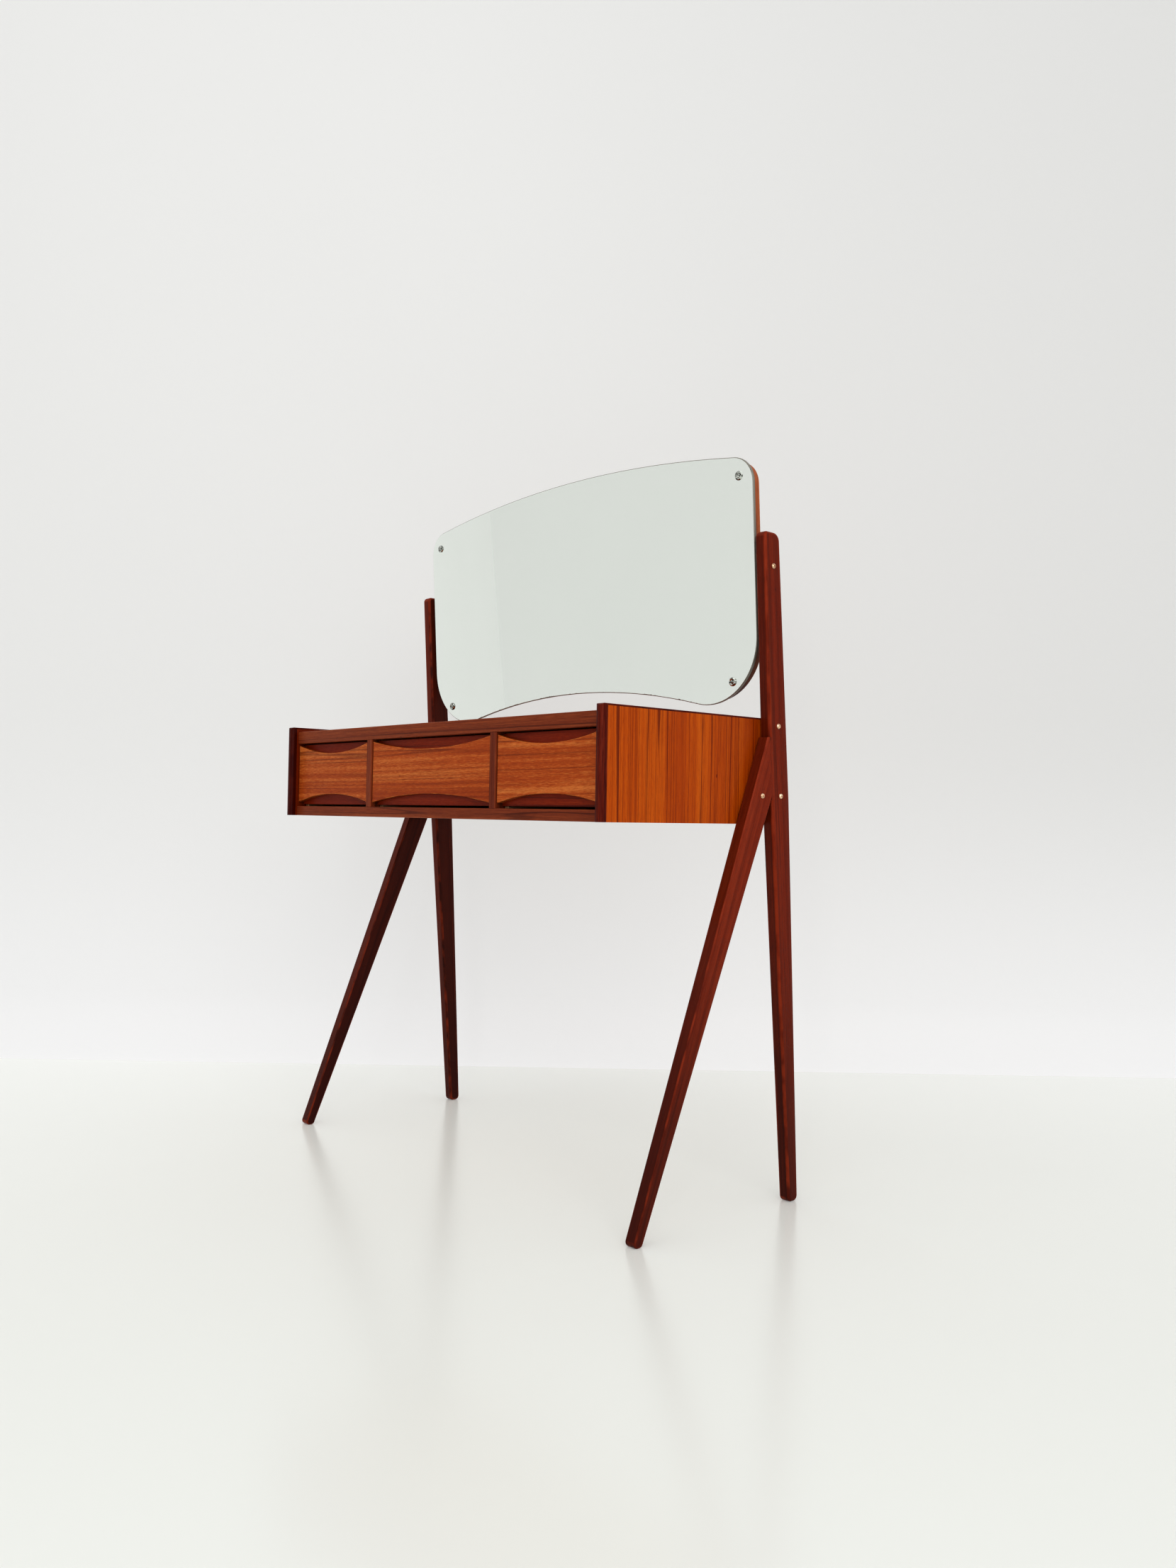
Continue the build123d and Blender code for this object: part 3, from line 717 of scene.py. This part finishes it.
def fit(name, tree, sizes, seats, body, finish, seed, replaced):
    """Turns one group of hardware and puts it in the scene as a plain mesh."""
    mesh = bpy.data.meshes.new(f"{name}_seats")
    mesh.from_pydata([tuple(place) for place, _ in seats], [], [])
    facing = mesh.attributes.new("facing", "FLOAT_VECTOR", "POINT")
    facing.data.foreach_set("vector", [share for _, way in seats for share in way])
    holder = bpy.data.objects.new(f"{name}_holder", mesh)
    bpy.context.scene.collection.objects.link(holder)
    turning = holder.modifiers.new("turning", "NODES")
    turning.node_group = tree
    given = {**{size: value * MM for size, value in sizes.items()}, "Seed": seed}
    given["Finish"] = finishes[finish]
    for port in tree.interface.items_tree:
        if port.name in given:
            turning[port.identifier] = given[port.name]
    holder.update_tag()
    ready = holder.evaluated_get(bpy.context.evaluated_depsgraph_get())
    turned = bpy.data.meshes.new_from_object(ready)
    turned.name = name
    bpy.data.objects.remove(holder)
    turned.shade_smooth()
    turned.set_sharp_from_angle(angle=TURNED_CREASE)
    show(turned, name, body, finish, replaced)


ROUND_HEAD = {"Head Radius": 4.8, "Head Height": 3.6, "Slot Width": 1.2, "Slot Depth": 1.5}
FRAME_SCREW = {**ROUND_HEAD, "Shank Radius": 2.45, "Shank Length": 34.0}
PIVOT_SCREW = {**ROUND_HEAD, "Shank Radius": 2.95, "Shank Length": 64.0}
GLASS_SCREW = {
    "Head Radius": 3.9,
    "Head Height": 1.8,
    "Slot Width": 1.1,
    "Slot Depth": 1.0,
    "Shank Radius": 1.9,
    "Shank Length": 13.5,
}
PANEL_PIN = {"Head Radius": 1.6, "Head Height": 0.8, "Shank Radius": 0.78, "Shank Length": 13.5}
CUP = {
    "Rim Radius": 8.0,
    "Mouth Radius": 5.4,
    "Bore Radius": 2.2,
    "Height": 3.0,
    "Seat Height": 1.2,
}

screws = slotted_heads()
cups = dished_cups()
for group, body, sizes, seed in (
    ("frame_screws", "table", FRAME_SCREW, 5),
    ("pivot_screw", "mirror", PIVOT_SCREW, 8),
):
    nodes = [f"{group}_{hand}" for hand, _ in hands]
    proud = sizes["Head Height"] * MM
    seats = [seat for hand, way in hands for seat in seats_of(f"{group}_{hand}", way, proud)]
    fit(f"turned_{group}", screws, sizes, seats, body, "brass", seed, nodes)

fit(
    "turned_mirror_screws",
    screws,
    GLASS_SCREW,
    seats_of("mirror_screws", MIRROR_FACING, GLASS_SCREW["Head Height"] * MM),
    "mirror",
    "chrome",
    3,
    ["mirror_screws"],
)
fit(
    "turned_cup_washers",
    cups,
    CUP,
    seats_of("cup_washers", MIRROR_FACING, CUP["Height"] * MM),
    "mirror",
    "chrome",
    4,
    ["cup_washers"],
)
fit(
    "turned_panel_pins",
    screws,
    PANEL_PIN,
    seats_of("back_panel_pins", BACK, PANEL_PIN["Head Height"] * MM),
    "table",
    "steel",
    6,
    ["back_panel_pins"],
)

# ------------------------------------------------------------------ room and light

FLOOR_HALF = 14.0
FLOOR_GLOW = 0.27
WALL_GLOW = 0.54
WALL_HEIGHT = 6.0
WALL_FOOT_GAP = 0.5 * MM
COVE_RADIUS = 0.16
COVE_STEPS = 12
WALL_AHEAD = 3.45
CORNER_LEFT = 5.1
WALL_RIGHT = 9.0
LEFT_WALL_BACK = 12.0
AIR_LIGHT = 0.84
WHITE = (1.0, 1.0, 1.0)


def stage_paint(name, colour, glow, gloss, one_sided=False):
    """Pale paint with a little light of its own, more at its foot and less to the right."""
    finish = Finish(name)
    x, height, depth = finish.lanes(RIGHT, -BACK)
    cloud = finish.noise(finish.vector(x * 1.2, height * 1.2, depth * 1.2), 3.0)
    rough = cloud.between(0.3, 0.7, gloss, gloss + 0.06)
    lit = height.between(0.0, 1.0, 1.0, 0.0) if one_sided else 0.0
    glowing = finish.blend(x.between(-1.8, 0.5), tint("#efefed"), tint("#e4e4e2"))
    sockets = {
        "Base Color": tint(colour),
        "Roughness": rough,
        "Emission Color": finish.blend(lit, glowing, (*WHITE, 1.0)),
        "Emission Strength": glow,
    }
    paint = finish.out("ShaderNodeBsdfPrincipled", None, sockets)
    if one_sided:
        clear = finish.out("ShaderNodeBsdfTransparent")
        behind = finish.out("ShaderNodeNewGeometry", output="Backfacing")
        sides = {SHADER_SHARE: behind, SHADER_FIRST: paint, SHADER_SECOND: clear}
        paint = finish.out("ShaderNodeMixShader", None, sides)
    finish.node("ShaderNodeOutputMaterial", None, {"Surface": paint})
    return finish.material


def lay_floor():
    """A broad pale floor."""
    mesh = bpy.data.meshes.new("floor")
    turns = ((-1, -1), (1, -1), (1, 1), (-1, 1))
    corners = [(FLOOR_HALF * x, FLOOR_HALF * y, 0) for x, y in turns]
    mesh.from_pydata(corners, [], [(0, 1, 2, 3)])
    mesh.materials.append(stage_paint("pale_floor", "#ccceca", FLOOR_GLOW, 0.20))
    floor = bpy.data.objects.new("floor", mesh)
    bpy.context.scene.collection.objects.link(floor)


def raise_wall(name, foot, outward, aside, start, end):
    """A pale wall with a coved foot, seen only from inside the room."""
    bends = [QUARTER_TURN * step / COVE_STEPS for step in range(COVE_STEPS + 1)]
    profile = [(COVE_RADIUS * (sin(bend) - 1), COVE_RADIUS * (1 - cos(bend))) for bend in bends]
    profile.append((0.0, WALL_HEIGHT))
    corners = [
        foot + outward * out + aside * side + UP * (height + WALL_FOOT_GAP)
        for out, height in profile
        for side in (start, end)
    ]
    faces = [(2 * i, 2 * i + 1, 2 * i + 3, 2 * i + 2) for i in range(len(profile) - 1)]
    mesh = bpy.data.meshes.new(name)
    mesh.from_pydata([tuple(corner) for corner in corners], [], faces)
    mesh.shade_smooth()
    paint = stage_paint(f"{name}_paint", "#a0a0a0", WALL_GLOW, 0.6, one_sided=True)
    mesh.materials.append(paint)
    wall = bpy.data.objects.new(name, mesh)
    bpy.context.scene.collection.objects.link(wall)


def build_room():
    """Stands one wall behind the table and one far to its left, which the mirror shows."""
    foot = Vector((EYE.x, EYE.y, 0)) + AHEAD * WALL_AHEAD
    corner = foot - ASIDE * CORNER_LEFT
    raise_wall("back_wall", foot, AHEAD, ASIDE, -CORNER_LEFT, WALL_RIGHT)
    raise_wall("left_wall", corner, -ASIDE, AHEAD, -LEFT_WALL_BACK, 0.0)


def hang_lamp(name, place, target, width, height, power, colour):
    """A soft lamp that the camera does not see."""
    lamp = bpy.data.lights.new(name, "AREA")
    lamp.shape = "RECTANGLE"
    lamp.size = width
    lamp.size_y = height
    lamp.energy = power
    lamp.color = colour
    held = bpy.data.objects.new(name, lamp)
    held.location = place
    held.rotation_euler = (Vector(target) - Vector(place)).to_track_quat("-Z", "Y").to_euler()
    held.visible_camera = False
    bpy.context.scene.collection.objects.link(held)


def light_room():
    """Even pale air, a broad window high at the right, and two weaker lamps for sheen."""
    world = bpy.data.worlds.new("room_air")
    world.use_nodes = True
    sky = world.node_tree.nodes["Background"]
    sky.inputs["Color"].default_value = (0.98, 0.98, 0.98, 1)
    sky.inputs["Strength"].default_value = AIR_LIGHT
    bpy.context.scene.world = world
    hang_lamp("window", (3.8, -1.8, 2.8), (0, 0, 0.7), 2.4, 2.4, 48, (1.0, 0.99, 0.98))
    hang_lamp("ceiling", (0.6, -1.8, 3.4), (0, 0, 0.5), 2.6, 2.6, 16, WHITE)
    hang_lamp("window_bar", (2.4, -2.6, 1.5), (0, 0, 0.7), 0.2, 1.8, 9, WHITE)


lay_floor()
build_room()
light_room()
